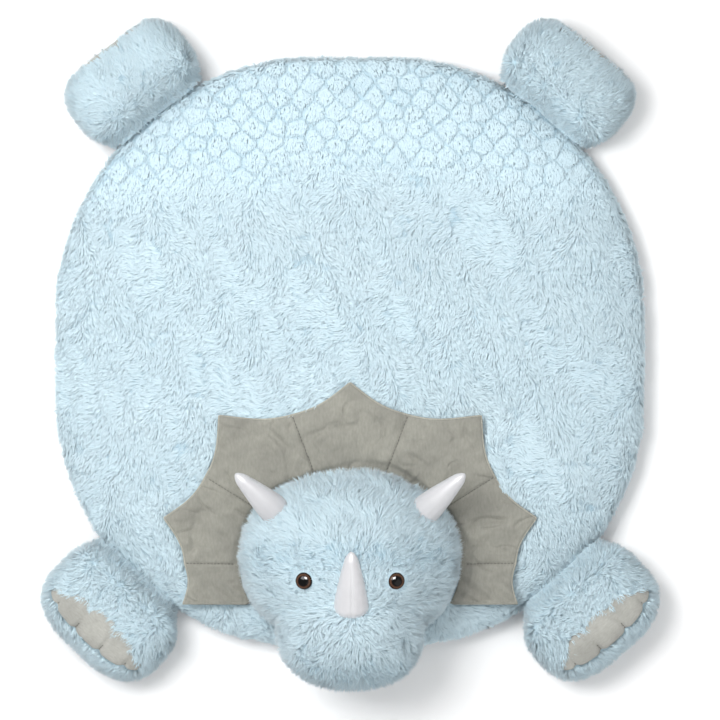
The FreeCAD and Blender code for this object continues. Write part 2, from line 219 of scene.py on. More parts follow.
class Nodes:
    """A small helper that builds one node material around a Principled shader."""

    def __init__(self, name, roughness=0.9, **sockets):
        self.material = bpy.data.materials.new(name)
        self.material.use_nodes = True
        self.tree = self.material.node_tree
        self.shader = self.tree.nodes["Principled BSDF"]
        self.shader.inputs["Roughness"].default_value = roughness
        for socket, number in sockets.items():
            self.shader.inputs[socket.replace("_", " ").title()].default_value = number

    def add(self, kind, **settings):
        """A node with its settings and input values."""
        node = self.tree.nodes.new(kind)
        for key, setting in settings.items():
            if hasattr(node, key):
                setattr(node, key, setting)
            else:
                node.inputs[key.replace("_", " ").title()].default_value = setting
        return node

    def link(self, source, target):
        """Joins two sockets."""
        self.tree.links.new(source, target)

    def place(self):
        """The socket that gives a point's place in the object's own frame."""
        return self.add("ShaderNodeTexCoord").outputs["Object"]

    def noise(self, scale, detail=3.0, roughness=0.6, stretch=None):
        """The value of a noise texture, stretched along the axes where asked."""
        texture = self.add("ShaderNodeTexNoise", scale=scale, detail=detail, roughness=roughness)
        where = self.place()
        if stretch:
            mapping = self.add("ShaderNodeMapping")
            mapping.inputs["Scale"].default_value = stretch
            self.link(where, mapping.inputs["Vector"])
            where = mapping.outputs["Vector"]
        self.link(where, texture.inputs["Vector"])
        return texture.outputs["Fac"]

    def ramp(self, value, stops):
        """A colour ramp over a value, from (position, colour) stops."""
        node = self.add("ShaderNodeValToRGB")
        elements = node.color_ramp.elements
        while len(elements) < len(stops):
            elements.new(0.5)
        for element, (position, colour) in zip(elements, stops):
            element.position = position
            element.color = (*colour, 1)
        self.link(value, node.inputs["Fac"])
        return node.outputs["Color"]

    def multiply(self, first, second, factor=1.0):
        """Two colours multiplied together."""
        node = self.add("ShaderNodeMix", data_type="RGBA", blend_type="MULTIPLY")
        node.inputs["Factor"].default_value = factor
        self.link(first, node.inputs["A"])
        self.link(second, node.inputs["B"])
        return node.outputs["Result"]

    def colour(self, socket):
        """Uses a socket as the shader's base colour."""
        self.link(socket, self.shader.inputs["Base Color"])

    def bump(self, height, distance, strength=0.6):
        """Raises the surface by a height socket."""
        node = self.add("ShaderNodeBump")
        node.inputs["Distance"].default_value = distance
        node.inputs["Strength"].default_value = strength
        self.link(height, node.inputs["Height"])
        self.link(node.outputs["Normal"], self.shader.inputs["Normal"])


def tint(colour, factor):
    """A colour made lighter or darker."""
    return tuple(min(1.0, part * factor) for part in colour)


BLUE = (0.665, 0.825, 0.895)
# BLUE_DEEP: at the pile's roots it is painted shade deep in the pile; in the backing it is the darker
# side of a random mottle.
BLUE_DEEP = (0.52, 0.725, 0.82)
TAUPE = (0.268, 0.265, 0.228)
TAUPE_PALE = (0.385, 0.385, 0.355)
SATIN = (0.60, 0.60, 0.615)


def strand_material(name, root, tip):
    """Pile strands: darker at the root, as painted shade deep in the pile, and paler at the tip; each
    strand's tone also differs a little.
    """
    made = Nodes(name, roughness=0.85, sheen_weight=0.35, sheen_roughness=0.5)
    layout = made.add("ShaderNodeUVMap", uv_map="OFBake")
    parts = made.add("ShaderNodeSeparateXYZ")
    made.link(layout.outputs["UV"], parts.inputs["Vector"])
    along = made.ramp(parts.outputs["Y"], [(0.0, root), (0.45, tint(tip, 0.93)), (1.0, tip)])
    # Lower tones darken a strand: a little at random, and as painted shade where the styles lower the
    # tone in creases and grooves.
    shades = [(0.0, (0.60, 0.73, 0.80)), (0.4, (0.90, 0.94, 0.96)), (1.0, (1, 1, 1))]
    tone_and_painted_shade = made.ramp(parts.outputs["X"], shades)
    made.colour(made.multiply(along, tone_and_painted_shade))
    return made.material


def backing_material(name, colour, deep):
    """The cloth under the pile: mottled, with a fine fibrous bump."""
    made = Nodes(name, roughness=0.95, sheen_weight=0.3)
    mottle = made.ramp(made.noise(60), [(0.3, deep), (0.7, colour)])
    fine = made.ramp(made.noise(900, detail=2), [(0.25, (0.8, 0.8, 0.82)), (0.7, (1, 1, 1))])
    made.colour(made.multiply(mottle, fine))
    made.bump(made.noise(700, detail=3), 1.5 * MM)
    return made.material


def minky_material(name, colour, scale=1.0):
    """Short brushed pile: soft patches of painted sheen and painted shade where the nap turns, over a
    fine grain.
    """
    made = Nodes(name, roughness=0.88, sheen_weight=0.25, sheen_roughness=0.4)
    # The lighter and darker patches are painted sheen and shade where the turned nap catches the light.
    nap = [(0.3, tint(colour, 0.86)), (0.68, tint(colour, 1.1))]
    nap_sheen_and_shade = made.ramp(made.noise(22 * scale, detail=4), nap)
    streaks = made.noise(420 * scale, detail=3, stretch=(1.0, 0.35, 1.0))
    grain = made.ramp(streaks, [(0.28, (0.82, 0.82, 0.8)), (0.7, (1, 1, 1))])
    made.colour(made.multiply(nap_sheen_and_shade, grain))
    made.bump(made.noise(650 * scale, detail=3), 0.8 * MM, 0.5)
    return made.material


def satin_material():
    """Smooth white knit with a soft sheen and a very fine rib."""
    made = Nodes("horn_satin", roughness=0.42, sheen_weight=0.15, coat_weight=0.04)
    soft = made.ramp(made.noise(45, detail=2), [(0.3, tint(SATIN, 0.94)), (0.7, SATIN)])
    rib = made.ramp(made.noise(1500, detail=1), [(0.3, (0.95, 0.95, 0.96)), (0.7, (1, 1, 1))])
    made.colour(made.multiply(soft, rib))
    made.bump(made.noise(1200, detail=2), 0.25 * MM, 0.35)
    return made.material


def thread_material(name, colour):
    """Twisted sewing thread."""
    made = Nodes(name, roughness=0.7)
    twist = made.noise(1800, detail=1, stretch=(1, 1, 0.4))
    made.colour(made.ramp(twist, [(0.3, tint(colour, 0.6)), (0.7, colour)]))
    return made.material


long_pile = strand_material("blue_pile", BLUE_DEEP, BLUE)
backing = backing_material("blue_backing", tint(BLUE, 0.9), BLUE_DEEP)
underside_cloth = backing_material("underside_cloth", tint(BLUE, 0.95), tint(BLUE, 0.8))
frill_minky = minky_material("frill_minky", TAUPE)
# The frill's rolled edge is given a lighter taupe: a painted highlight along it.
edge_highlight_minky = minky_material("edge_highlight_minky", tint(TAUPE, 1.4))
sole_minky = minky_material("sole_minky", TAUPE_PALE, 1.4)
horn_satin = satin_material()
quilt_thread = thread_material("quilt_thread", tint(TAUPE, 0.45))


def dress(item, material):
    """Gives an item one material."""
    item.data.materials.clear()
    item.data.materials.append(material)
    return item


# ---- mat


def mat_reach(angle):
    """How far the mat's outline is from its middle at an angle from +X."""
    across, along = np.abs(np.cos(angle)), np.abs(np.sin(angle))
    corner = np.where(np.sin(angle) > 0, REAR_CORNER - REAR_TIGHTER, FRONT_CORNER - FRONT_TIGHTER)
    centre = MAT_HALF - corner
    lead = centre * (across + along)
    round_part = lead + np.sqrt(np.maximum(lead ** 2 - 2 * centre ** 2 + corner ** 2, 0))
    flat_part = MAT_HALF / np.maximum(across, along)
    on_flat = np.minimum(round_part * across, round_part * along) < centre
    return np.where(on_flat, flat_part, round_part)


def crown_height(points):
    """The height of the mat's crowned top, without its pile, above each point."""
    flat = points[:, 0] ** 2 + points[:, 1] ** 2
    return MAT_CROWN - CROWN_RADIUS + np.sqrt(CROWN_RADIUS ** 2 - flat)


def make_mat():
    """The mat's skin: a crowned cushion, filled by Cloth, flat underneath."""
    turns = 160
    angle = np.linspace(0, 2 * math.pi, turns, endpoint=False)
    reach = mat_reach(angle) - PILE * 0.45
    spread = 1 - np.linspace(1, 0, 26) ** 2.2
    rows = []
    for side in (-1, 1):
        for share in (spread if side < 0 else spread[-2::-1]):
            x, y = reach * share * np.cos(angle), reach * share * np.sin(angle)
            plan = np.stack([x, y], axis=1)
            full = (1 - share ** 16) ** 0.45
            if side < 0:
                height = np.full(turns, MAT_SEAM - (MAT_SEAM - 1.5 * MM) * full)
            else:
                height = MAT_SEAM + (crown_height(plan) - PILE * 0.7 - MAT_SEAM) * full
            rows.append(np.column_stack([x, y, height]))
    vertices = np.concatenate(rows)
    skin = mesh_object("mat_skin", vertices, grid_faces(len(rows), turns, wrap=True))
    remesh(skin, 7 * MM)
    inflate(skin, 5 * MM)
    points = points_of(skin)
    top = smooth(MAT_SEAM, MAT_RIM, points[:, 2])
    points[:, 2] += top * (waves(points, 150 * MM, 1) * 2.2 * MM + waves(points, 60 * MM, 2) * 1.2 * MM)
    seam = np.exp(-((points[:, 2] - MAT_SEAM) / (4 * MM)) ** 2)
    points[:, :2] *= 1 - 0.006 * seam[:, None]
    points[:, 2] = np.maximum(points[:, 2], 1 * MM)
    set_points(skin, points)
    return dress(skin, backing)


mat_skin = make_mat()


# ---- frill outline


FRILL_MIDDLE = np.array([0, -240]) * MM
TIPS = [(0, 205), (41, 223), (75.5, 215), (103, 192)]
VALLEYS = [(21, 181), (58.3, 190), (89, 185)]
FRILL_INNER = np.array([128, 102]) * MM
FRILL_LAST = 110.4


def lobe_corners():
    """Angles and distances of tips and valleys from the left end round to the right end."""
    side = [TIPS[0]]
    for valley, tip in zip(VALLEYS, TIPS[1:]):
        side += [valley, tip]
    return [(-angle, distance) for angle, distance in reversed(side[1:])] + side


def frill_reach(angle):
    """How far the frill's edge is from its middle, at angles in degrees from the rear."""
    corners = lobe_corners()
    last_angle, last_distance = corners[-1]
    chord = -last_distance * math.cos(math.radians(last_angle)) * MM
    turn = np.radians(np.abs(angle))
    reach = chord / np.maximum(-np.cos(turn), 1e-3)
    for (a0, d0), (a1, d1) in zip(corners, corners[1:]):
        here = (angle >= a0) & (angle <= a1)
        r0, r1, a = math.radians(a0), math.radians(a1), np.radians(angle)
        edge = d0 * d1 * math.sin(r1 - r0) / (d0 * np.sin(a - r0) + d1 * np.sin(r1 - a))
        share = np.clip((angle - a0) / (a1 - a0), 0, 1)
        hollow = 0.028 * np.sin(math.pi * share)
        reach = np.where(here, edge * (1 - hollow) * MM, reach)
    return reach


def frill_polar(points):
    """Angle in degrees from the rear, and distance, around the frill's middle."""
    x, y = points[:, 0] - FRILL_MIDDLE[0], points[:, 1] - FRILL_MIDDLE[1]
    return np.degrees(np.arctan2(x, y)), np.hypot(x, y)


def frill_inner(angle):
    """How far the frill's inner edge is from its middle, at angles in degrees from the rear."""
    turn = np.radians(angle)
    return 1 / np.sqrt((np.sin(turn) / FRILL_INNER[0]) ** 2 + (np.cos(turn) / FRILL_INNER[1]) ** 2)


def under_frill(points, margin=4 * MM):
    """One where the frill or head covers the mat, zero outside."""
    angle, distance = frill_polar(points)
    covered = smooth(margin, -margin, distance - frill_reach(np.clip(angle, -FRILL_LAST, FRILL_LAST)))
    ahead = np.abs(angle) > FRILL_LAST
    head = (points[:, 0] / (CRANIUM_HALF[0] + margin)) ** 2
    head = head + ((points[:, 1] - CRANIUM_CENTRE[1]) / (CRANIUM_HALF[1] + margin)) ** 2
    return np.where(ahead, (head < 1).astype(float), covered)


# ---- head


CRANIUM_CENTRE = np.array([0, -231, 86]) * MM
CRANIUM_HALF = np.array([121, 96, 90]) * MM
MUZZLE_CENTRE = np.array([0, -315, 118]) * MM
MUZZLE_HALF = np.array([84, 60, 60]) * MM
NOD_LINE = np.array([0, -315, 30]) * MM
NOD_ROOM = 27.5 * MM
FOLD_LINE_Y = -290 * MM
FOLD_SLOPE = 0.165       # the folded frill's rise behind its fold line, with room to spare
FRILL_DEPTH = 9 * MM     # from the mat's crown to the top of the frill where the head lies on it
BROW_HEIGHT = 140 * MM


def above_mat(points, room):
    """Lifts points that lie in the mat or in the room that the nodding head needs at the mat's rim."""
    lifted = points.copy()
    inside = np.minimum(np.hypot(points[:, 0], points[:, 1]), MAT_HALF * 1.2)
    floor = MAT_CROWN - CROWN_RADIUS + np.sqrt(CROWN_RADIUS ** 2 - inside ** 2) + room
    ahead = NOD_LINE[1] - points[:, 1]
    over_rim = NOD_LINE[2] + np.sqrt(np.maximum((NOD_ROOM + room) ** 2 - ahead ** 2, 0))
    floor = np.where(ahead > 0, over_rim, floor)
    free = ahead > NOD_ROOM + room
    lifted[:, 2] = np.where(free, points[:, 2], np.maximum(points[:, 2], floor))
    return lifted


def above_frill(points, room):
    """Lifts the low points of the head over the frill, as far as the frill rises when it folds."""
    lifted = points.copy()
    angle, distance = frill_polar(points)
    over = smooth(-21 * MM, -13 * MM, distance - frill_inner(angle)) * (points[:, 2] < BROW_HEIGHT)
    fold = FOLD_SLOPE * np.maximum(points[:, 1] - FOLD_LINE_Y, 0)
    floor = crown_height(points) + FRILL_DEPTH + fold + room
    lifted[:, 2] = points[:, 2] + over * np.maximum(floor - points[:, 2], 0)
    return lifted


def make_head():
    """The head's skin: a cranium and a muzzle, filled by Cloth, shaped to the mat and frill below."""
    cranium, faces = superellipsoid(CRANIUM_HALF - PILE * 0.6, 2.15, 2.1)
    muzzle, more = superellipsoid(MUZZLE_HALF - PILE * 1.1, 2.3, 2.15)
    shift = len(cranium)
    faces = faces + [tuple(shift + i for i in face) for face in more]
    points = np.concatenate([cranium + CRANIUM_CENTRE, muzzle + MUZZLE_CENTRE])
    skin = mesh_object("head_skin", points, faces)
    remesh(skin, 5 * MM, relax=3)
    inflate(skin, 4 * MM)
    points = points_of(skin)
    outward = normals_of(skin)
    soft = waves(points, 70 * MM, 11) * 1.6 + waves(points, 28 * MM, 12) * 0.7
    points += outward * soft[:, None] * MM
    set_points(skin, above_frill(above_mat(points, 2 * MM), 1 * MM))
    return dress(skin, backing)


head_skin = make_head()


# ---- paws and feet


PAW_HALF = 73 * MM
PAW_TOP = 80 * MM
PAWS = [
    ("left_foot", 84 * MM, 90 + 39, REAR_CORNER),
    ("right_foot", 84 * MM, 90 - 39, REAR_CORNER),
    ("left_paw", 96 * MM, -90 - 42.5, FRONT_CORNER),
    ("right_paw", 96 * MM, -90 + 42.5, FRONT_CORNER),
]


def rim_distance(angle, corner):
    """How far the mat's rim is along a diagonal direction, angle from +Y or -Y."""
    return (MAT_HALF - corner) * (math.sin(angle) + math.cos(angle)) + corner


def paw_frame(yaw, corner):
    """The matrix that turns a paw's own frame, +X outward from the rim, into the model's."""
    turn = math.radians(abs(abs(yaw) - 90))
    place = Matrix.Rotation(math.radians(yaw), 4, "Z")
    return place @ Matrix.Translation((rim_distance(turn, corner), 0, 0))


# A paw's neck, by distance out from the mat's rim: its top, its underside and its half width, in mm.
NECK_AT = [-14, 0, 12, 24, 40]
NECK_TOP = [38, 46, 64, 77, 84]
NECK_LOW = [20, 19, 12, 4, -2]
NECK_WIDE = [57, 62, 68, 73, 76]
NECK_INNER = [46, 51, 60, 70, 76]      # on a front paw's side toward the head


def neck(points, inset, inner):
    """Narrows a paw's points toward the mat; inner is the sign of its side toward the head."""
    shaped = points.copy()
    out = points[:, 0] / MM
    top = np.interp(out, NECK_AT, NECK_TOP) * MM - inset
    low = np.interp(out, NECK_AT, NECK_LOW) * MM + inset * 0.5
    shaped[:, 2] = np.clip(points[:, 2], low, top)
    wide, close = (np.interp(out, NECK_AT, half) * MM - inset for half in (NECK_WIDE, NECK_INNER))
    left, right = (close if inner == sign else wide for sign in (1, -1))
    shaped[:, 1] = np.clip(points[:, 1], -right, left)
    return shaped


def make_paw(name, reach, inner):
    """A paw's skin in its own frame: a plump bolster, filled by Cloth, with a neck into the mat's rim."""
    inset = 1 * MM if "paw" in name else 3.5 * MM
    back = 22 * MM
    half = np.array([(reach - inset + back) / 2, PAW_HALF - inset, PAW_TOP / 2 - inset + 2 * MM])
    centre = np.array([half[0] - back, 0, PAW_TOP / 2 + 0.5 * MM])
    points, faces = superellipsoid(half, 3.3, 2.5, 34)
    points += centre
    points[:, 0] = np.maximum(points[:, 0], -13 * MM)
    skin = mesh_object(name + "_skin", neck(points, inset, inner), faces)
    remesh(skin, 4.5 * MM, relax=4)
    inflate(skin, 3 * MM)
    points = points_of(skin)
    outward = normals_of(skin)
    points += outward * (waves(points, 45 * MM, 21) * 1.2 * MM)[:, None]
    points[:, 2] = np.clip(points[:, 2], 2.5 * MM, PAW_TOP - inset * 0.5)
    set_points(skin, points)
    return dress(skin, backing)


paw_skins = {}
for paw_name, paw_reach, _, _ in PAWS:
    inner_side = {"left_paw": 1, "right_paw": -1}.get(paw_name, 0)
    paw_skins[paw_name] = make_paw(paw_name, paw_reach, inner_side)
bpy.context.view_layer.update()


# ---- pile


STRANDS_IN_PIECE = 33000


def sample(item, count, weight, offset):
    """Random roots over an item's faces with their normals; weight says how dense each place is."""
    mesh = item.data
    mesh.calc_loop_triangles()
    corners = np.empty(len(mesh.loop_triangles) * 3, np.int32)
    mesh.loop_triangles.foreach_get("vertices", corners)
    corners = corners.reshape(-1, 3)
    places, facing = points_of(item)[corners], normals_of(item)[corners]
    across = np.cross(places[:, 1] - places[:, 0], places[:, 2] - places[:, 0])
    share = np.linalg.norm(across, axis=1) * weight(places.mean(axis=1), unit(facing.mean(axis=1)))
    rng = random(offset)
    chosen = rng.choice(len(share), count, p=share / share.sum())
    first, second = rng.random((2, count))
    over = first + second > 1
    first[over], second[over] = 1 - first[over], 1 - second[over]
    mix = np.stack([1 - first - second, first, second], axis=1)[:, :, None]
    return (places[chosen] * mix).sum(axis=1), unit((facing[chosen] * mix).sum(axis=1))


def nearest(points, centres):
    """The nearest centre's number for each point, and the distances to the nearest and the next."""
    tree = kdtree.KDTree(len(centres))
    for number, centre in enumerate(centres):
        tree.insert(Vector(centre), number)
    tree.balance()
    chosen = np.empty(len(points), np.int64)
    gaps = np.empty((len(points), 2))
    for row, point in enumerate(points):
        found = tree.find_n(Vector(point), 2)
        chosen[row] = found[0][1]
        gaps[row] = found[0][2], found[1][2]
    return chosen, gaps


def strands_mesh(name, base, middle, tip, side, crest, facing, tone, lean):
    """Closed spindle-shaped strands: five points and six faces each."""
    count = len(base)
    rings = [base, middle + side, middle - side, middle + crest, tip]
    points = np.stack(rings, axis=1).reshape(-1, 3)
    spread = unit(side)
    bent = [facing, facing + spread * 0.5, facing - spread * 0.5, facing, facing * 0.8 + lean * 0.4]
    normals = unit(np.stack(bent, axis=1).reshape(-1, 3))
    pattern = np.array([(0, 3, 1), (0, 2, 3), (0, 1, 2), (4, 1, 3), (4, 3, 2), (4, 2, 1)])
    corners = (pattern[None] + 5 * np.arange(count)[:, None, None]).reshape(-1)
    shift = np.array([0, -0.02, 0.02, 0, 0])
    layout = np.empty((count, 5, 2))
    layout[:, :, 0] = np.clip(tone[:, None] + shift, 0, 1)
    layout[:, :, 1] = np.array([0, 0.5, 0.5, 0.5, 1])
    layout = layout.reshape(-1, 2)[corners]
    mesh = bpy.data.meshes.new(name)
    mesh.vertices.add(len(points))
    mesh.vertices.foreach_set("co", points.ravel())
    mesh.loops.add(len(corners))
    mesh.loops.foreach_set("vertex_index", corners.astype(np.int32))
    mesh.polygons.add(count * 6)
    mesh.polygons.foreach_set("loop_start", np.arange(0, len(corners), 3, dtype=np.int32))
    mesh.update(calc_edges=True)
    mesh.shade_smooth()
    mesh.uv_layers.new(name="OFBake").data.foreach_set("uv", layout.ravel().astype(np.float32))
    mesh.normals_split_custom_set_from_vertices(normals)
    item = bpy.data.objects.new(name, mesh)
    scene.collection.objects.link(item)
    return dress(item, long_pile)


def above_floor(points):
    """Keeps pile off the floor."""
    return np.column_stack([points[:, :2], np.maximum(points[:, 2], 1.2 * MM)])


def grow(name, skin, count, weight, style, offset, width, group=11, clear=above_floor):
    """Grows pile over a skin and returns its pieces, each small enough to export whole.

    weight says how dense each place is. style gives, for each root, the way it is combed, its lift
    off the skin as an angle, its length, how deep it sits, its tone and how unruly it is.
    Strands close to one of the heads lean together into a tuft. clear keeps points out of what is below.
    """
    rng = random(offset)
    roots, outward = sample(skin, count, weight, offset + 1)
    look = style(roots, outward)
    roots = roots - outward * look["sink"][:, None]
    along = look["comb"] - outward * (look["comb"] * outward).sum(axis=1, keepdims=True)
    along = unit(unit(along) + rng.normal(size=roots.shape) * look["tousle"][:, None])
    along = unit(along - outward * (along * outward).sum(axis=1, keepdims=True))
    lift = look["lift"] + rng.normal(size=count) * 0.12
    lean = unit(along * np.cos(lift)[:, None] + outward * np.sin(lift)[:, None])
    length = look["length"] * rng.uniform(0.75, 1.15, count)
    heads = rng.choice(count, max(4, count // group), replace=False)
    owner, _ = nearest(roots, roots[heads])
    heads = heads[owner]
    tip = roots + lean * length[:, None]
    meeting = roots[heads] + lean[heads] * length[:, None]
    tip = tip + (meeting - tip) * np.reshape(look.get("gather", 0.4), (-1, 1))
    middle = roots + (tip - roots) * 0.42 + outward * (length * 0.10)[:, None]
    tip, middle = clear(tip), clear(middle)
    lean = unit(tip - roots)
    side = unit(np.cross(outward, lean))
    rise = unit(np.cross(lean, side))
    roll = (rng.normal(size=count) * look.get("roll", 0.45))[:, None]
    side, rise = side * np.cos(roll) + rise * np.sin(roll), rise * np.cos(roll) - side * np.sin(roll)
    half = (width * rng.uniform(0.7, 1.25, count) * look.get("width", 1))[:, None]
    vary = look.get("vary", 0.13)
    tone = np.clip(look["tone"] + rng.normal(size=count) * vary, 0.03, 0.97)
    facing = rng.normal(size=roots.shape) * np.reshape(look.get("ruffle", 0.15), (-1, 1))
    facing = unit(outward + facing + look.get("tilt", 0))
    base = clear(roots - outward * 1 * MM)
    order = np.argsort(roots[:, 1])
    pieces = []
    total = math.ceil(count / STRANDS_IN_PIECE)
    for number, part in enumerate(np.array_split(order, total)):
        label = name if total == 1 else f"{name}_{number + 1}"
        parts = [base, middle, tip, side * half, rise * half * 0.45, facing, tone, lean]
        pieces.append(strands_mesh(label, *[values[part] for values in parts]))
    return pieces


# ---- pile styles


def creases(points, wavelength, offset, thin=0.16):
    """Narrow broken lines, one along each line and zero away from it."""
    line = smooth(thin, 0.0, np.abs(waves(points * np.array([0.75, 1.35, 1.0]), wavelength, offset)))
    broken = smooth(-0.15, 0.35, waves(points, wavelength * 0.8, offset + 50))
    return line * broken


def pebble_centres():
    """Jittered brick-like rows of soft pads over the rear of the mat."""
    rng = random(31)
    places = []
    for row in range(16):
        y = 115 * MM + row * 17 * MM
        for column in range(-14, 15):
            x = (column + 0.5 * (row % 2)) * 27 * MM
            shift = rng.normal(size=2) * np.array([3.6, 2.4]) * MM
            places.append((x + shift[0], y + shift[1], 0))
    return np.array(places)


def mat_weight(places, facing):
    """No pile underneath, less of it under the head and frill."""
    shown = smooth(8 * MM, 14 * MM, places[:, 2]) * smooth(-0.6, -0.2, facing[:, 2])
    return shown * (1 - 0.6 * under_frill(places, 2 * MM))


def mat_style(roots, outward):
    """Tousled long pile over the body and soft pads at the rear, with painted shade in its creases and in
    the grooves between the pads.
    """
    count = len(roots)
    flat = roots * np.array([1, 1, 0])
    centres = pebble_centres()
    owner, gaps = nearest(flat, centres)
    pad = smooth(0.2 * MM, 3.6 * MM, (gaps[:, 1] - gaps[:, 0]) / 2)
    reach = roots[:, 1] + 0.13 * np.abs(roots[:, 0]) + waves(roots, 90 * MM, 41) * 14 * MM
    rear = smooth(170 * MM, 245 * MM, reach)
    rear = rear * smooth(0.2, 0.6, outward[:, 2])
    fine_line = 0.8 * creases(roots, 22 * MM, 43, 0.12)
    line = np.maximum(creases(roots, 40 * MM, 42, 0.09), fine_line) * (1 - rear)
    turn = -1.9 + 1.7 * waves(roots, 75 * MM, 44) + 0.9 * waves(roots, 22 * MM, 46)
    turn = turn * (1 - rear) - (1.45 + 0.35 * waves(roots, 110 * MM, 47)) * rear
    comb = np.column_stack([np.cos(turn), np.sin(turn), np.zeros(count)])
    rim = smooth(0.75, 0.2, outward[:, 2])
    comb = comb + np.column_stack([unit(flat[:, :2]), -np.ones(count)]) * rim[:, None] * 0.6
    covered = under_frill(roots)
    length = 10.5 * MM * (1 - rear) + (5.6 + 1.2 * pad) * MM * rear
    length = length * (1 - 0.45 * covered) * (1 - 0.25 * line)
    return {
        "comb": comb,
        "lift": 0.36 - 0.2 * rear - 0.1 * covered,
        "length": length,
        "sink": ((1 - pad) * 2.6 - 1.8) * rear * MM + line * 2.5 * MM,
        "tousle": 0.30 - 0.18 * rear,
        # Tone: painted shade along the creases; lower over the rear and lowest in the grooves between the
        # pads, as painted shade there; the waves vary it at random.
        "tone": 0.66 - 0.6 * line + rear * (0.24 * pad - 0.44) + waves(roots, 60 * MM, 45) * 0.10,
        "tilt": unit(flat - centres[owner]) * ((1 - pad) * rear * 0.30)[:, None],
        "vary": 0.09 - 0.06 * rear,
        "roll": 0.3 - 0.15 * rear,
        "width": 1 + 0.7 * rear,
        "ruffle": 0.11 - 0.08 * rear,
        "gather": 0.3 * (1 - rear),
    }


def eye_place(side):
    """The middle of an eye's visible dome and the way it looks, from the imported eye."""
    low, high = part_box(side + "_eye")
    x, y = (low.x + high.x) / 2, (low.y + high.y) / 2
    across = (x - CRANIUM_CENTRE[0]) / CRANIUM_HALF[0]
    along = (y - CRANIUM_CENTRE[1]) / CRANIUM_HALF[1]
    up = math.sqrt(max(0.0, 1 - across ** 2 - along ** 2))
    aim = Vector((across / CRANIUM_HALF[0], along / CRANIUM_HALF[1], up / CRANIUM_HALF[2])).normalized()
    place = Vector((x, y, CRANIUM_CENTRE[2] + CRANIUM_HALF[2] * up))
    return place, (aim + Vector((0, 0.1, 1))).normalized()


EYES = {side: eye_place(side) for side in ("left", "right")}


def near_eyes(points):
    """The distance to the nearer eye and the direction away from it."""
    best = np.full(len(points), 1.0)
    away = np.zeros((len(points), 3))
    for place, _ in EYES.values():
        offset = points - np.array(place)
        distance = np.linalg.norm(offset, axis=1)
        closer = distance < best
        best = np.where(closer, distance, best)
        away = np.where(closer[:, None], unit(offset), away)
    return best, away


def head_weight(places, facing):
    """No pile under the eyes, where the head rests on the mat or where it faces down to the frill."""
    distance, _ = near_eyes(places)
    on_mat = above_mat(places, 3 * MM)[:, 2] - places[:, 2]
    on_frill = (above_frill(places, 1.5 * MM)[:, 2] - places[:, 2]) * (facing[:, 2] < -0.8)
    return smooth(9.5 * MM, 13 * MM, distance) * smooth(0.4 * MM, 0, on_mat + on_frill) + 1e-6


def within(points, centre, half):
    """How far points are outside an ellipsoid, as a share of its size; zero on its surface."""
    return np.linalg.norm((points - centre) / (half - PILE), axis=1) - 1


def head_style(roots, outward):
    """Shaggy pile that radiates from the face over the cranium and muzzle, with painted shade in its
    creases, across the brow, on the lower muzzle and where the muzzle meets the cranium.
    """
    distance, away = near_eyes(roots)
    muzzle = smooth(-262 * MM, -285 * MM, roots[:, 1] - 0.10 * np.abs(roots[:, 0]))
    from_brow = roots - np.array([0, -270, 120]) * MM
    from_nose = roots - np.array([0, -292, 140]) * MM
    comb = unit(from_brow) * (1 - muzzle)[:, None] + unit(from_nose) * muzzle[:, None]
    comb = comb + wave_vectors(roots, 30 * MM, 51) * 0.6 + wave_vectors(roots, 12 * MM, 54) * 0.4
    close = smooth(22 * MM, 9 * MM, distance)
    comb = comb + away * close[:, None] * 1.5
    line = creases(roots, 18 * MM, 57, 0.2)
    brow = np.exp(-((roots[:, 1] + 232 * MM) / (19 * MM)) ** 2) * smooth(100 * MM, 140 * MM, roots[:, 2])
    chin = smooth(-328 * MM, -350 * MM, roots[:, 1])
    # Across the brow and on the lower muzzle the pile is more tousled and, as painted shade, darker.
    tousled_and_shaded = np.clip(brow + chin, 0, 1)
    cheek_gap = within(roots, CRANIUM_CENTRE, CRANIUM_HALF) ** 2
    cheek_gap = cheek_gap + within(roots, MUZZLE_CENTRE, MUZZLE_HALF) ** 2
    cheek = np.exp(-cheek_gap / 0.055 ** 2)
    side = smooth(0.7, 0.2, outward[:, 2])
    low = smooth(75 * MM, 62 * MM, roots[:, 2]) * (roots[:, 1] > NOD_LINE[1])
    length = 13 * MM * (1 - 0.45 * close) * (1 - 0.45 * low)
    return {
        "comb": comb,
        "lift": 0.52 - 0.25 * close + 0.1 * tousled_and_shaded + 0.5 * side,
        "length": length,
        "sink": line * (1.5 + 1.8 * tousled_and_shaded) * MM + cheek * 3 * MM,
        "tousle": 0.32 + 0.3 * tousled_and_shaded,
        # Tone: painted shade in the creases, across the brow, on the lower muzzle and in the crease where
        # the muzzle meets the cranium.
        "tone": 0.74 - line * (0.4 + 0.4 * tousled_and_shaded) - 0.36 * tousled_and_shaded - 0.40 * cheek,
        "ruffle": 0.17,
    }


PIVOT_BACK = 34 * MM       # a paw's panels are laid out by angle around this line inside its end
PIVOT_HEIGHT = 38 * MM
TOE_LINES = (18 * MM, 50 * MM)
PANEL_HALF = {"toe": 65 * MM, "sole": 53 * MM}


def between_toes(across, width):
    """One on the lines between a front paw's toes, falling to zero within a width."""
    lines = [np.exp(-((np.abs(across) - line) / width) ** 2) for line in TOE_LINES]
    return np.maximum(*lines)


def toe_angles(across):
    """Upper and lower edge of a front paw's toe panel, as angles in degrees above level."""
    share = np.clip(np.abs(across) / PANEL_HALF["toe"], 0, 1)
    upper = 110 - 26 * share ** 3 - 7 * between_toes(across, 5 * MM)
    lower = 52 + 14 * share ** 3 + 5 * between_toes(across, 4 * MM)
    return upper, lower


def sole_angles(across):
    """Upper and lower edge of a foot's oval sole, as angles in degrees above level."""
    share = np.clip(np.abs(across) / PANEL_HALF["sole"], 0, 1)
    spread = (1 - share ** 2.6) ** (1 / 2.6)
    return 8 + 40 * spread, 8 - 42 * spread


